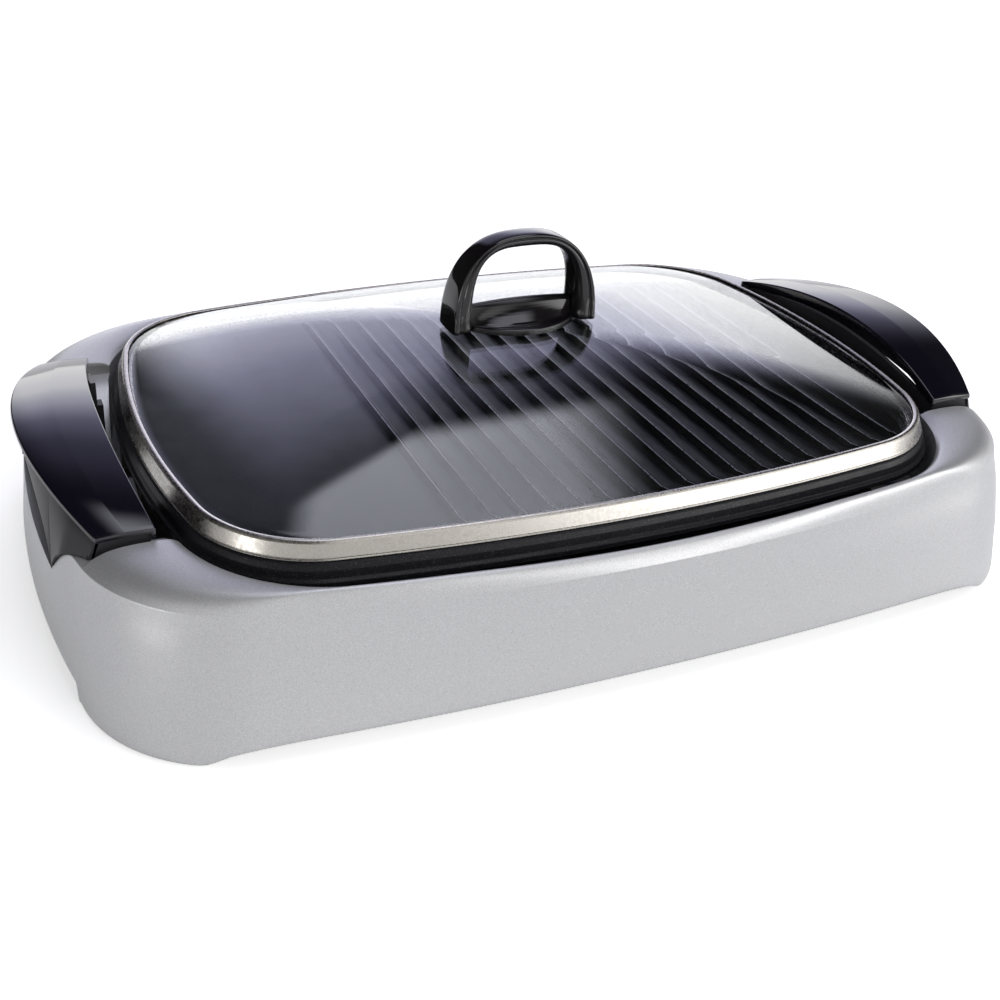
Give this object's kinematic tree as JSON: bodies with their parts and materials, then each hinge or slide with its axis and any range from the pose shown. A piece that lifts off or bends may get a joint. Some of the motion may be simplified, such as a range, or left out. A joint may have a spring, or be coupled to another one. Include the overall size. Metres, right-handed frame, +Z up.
{
  "type": "electric indoor grill",
  "caption": "Rectangular electric indoor grill: silver housing, black handles at both ends, part-ribbed plate, drip tray and a lift-off domed glass lid with a steel rim and a loop handle.",
  "frame": {"origin": "on the table, under the middle of the housing", "axes": "+X along the length towards the plain handle end, +Y towards the rear, +Z up; the front faces -Y and the control's inlet faces -X"},
  "size_m": [0.575, 0.382, 0.1851],
  "materials": {
    "housing_paint": "fine metallic satin silver paint on moulded resin",
    "handle_gloss": "polished black",
    "handle_satin": "satin black",
    "knob_gloss": "polished black",
    "rim_steel": "bright rolled stainless steel",
    "lid_glass": "clear tempered",
    "nonstick": "satin black non-stick coating on a casting",
    "sheath_steel": "heat-tinted sheath",
    "reflector_aluminium": "plain mill finish",
    "tray_steel": "dark enamelled steel",
    "phenolic": "moulded heat-proof resin",
    "contact_metal": "bright plated",
    "screw_steel": "zinc plated",
    "rubber": "matte"
  },
  "bodies": {
    "base": {"housing": "housing_paint", "left_handle_cover": "handle_gloss", "right_handle_cover": "handle_gloss", "left_handle_base": "handle_satin", "right_handle_base": "handle_satin", "handle_screws": "screw_steel", "rubber_feet": "rubber", "heat_reflector": "reflector_aluminium", "reflector_screws": "screw_steel", "plate_rests": "phenolic"},
    "tray": {"drip_tray": "tray_steel"},
    "plate": {"grill_plate": "nonstick", "heating_element": "sheath_steel", "element_clamps": "reflector_aluminium", "clamp_screws": "screw_steel", "terminal_guard": "phenolic", "guard_screws": "screw_steel", "live_pin": "contact_metal", "neutral_pin": "contact_metal", "earth_contact": "contact_metal", "probe_tube": "contact_metal"},
    "lid": {"lid_glass": "lid_glass", "lid_rim": "rim_steel", "rim_seal": "rubber", "lid_handle": "knob_gloss", "handle_plinth": "knob_gloss", "glass_gasket": "rubber", "glass_washer": "contact_metal", "knob_screw": "screw_steel"}
  },
  "joints": [
    {"name": "tray_lift", "type": "slide", "parent": "base", "child": "tray", "axis": [0, 0, 1], "range_m": [0, 0.1]},
    {"name": "plate_lift", "type": "slide", "parent": "tray", "child": "plate", "axis": [0, 0, 1], "range_m": [0, 0.1]},
    {"name": "lid_lift", "type": "slide", "parent": "plate", "child": "lid", "axis": [0, 0, 1], "range_m": [0, 0.1]}
  ]
}
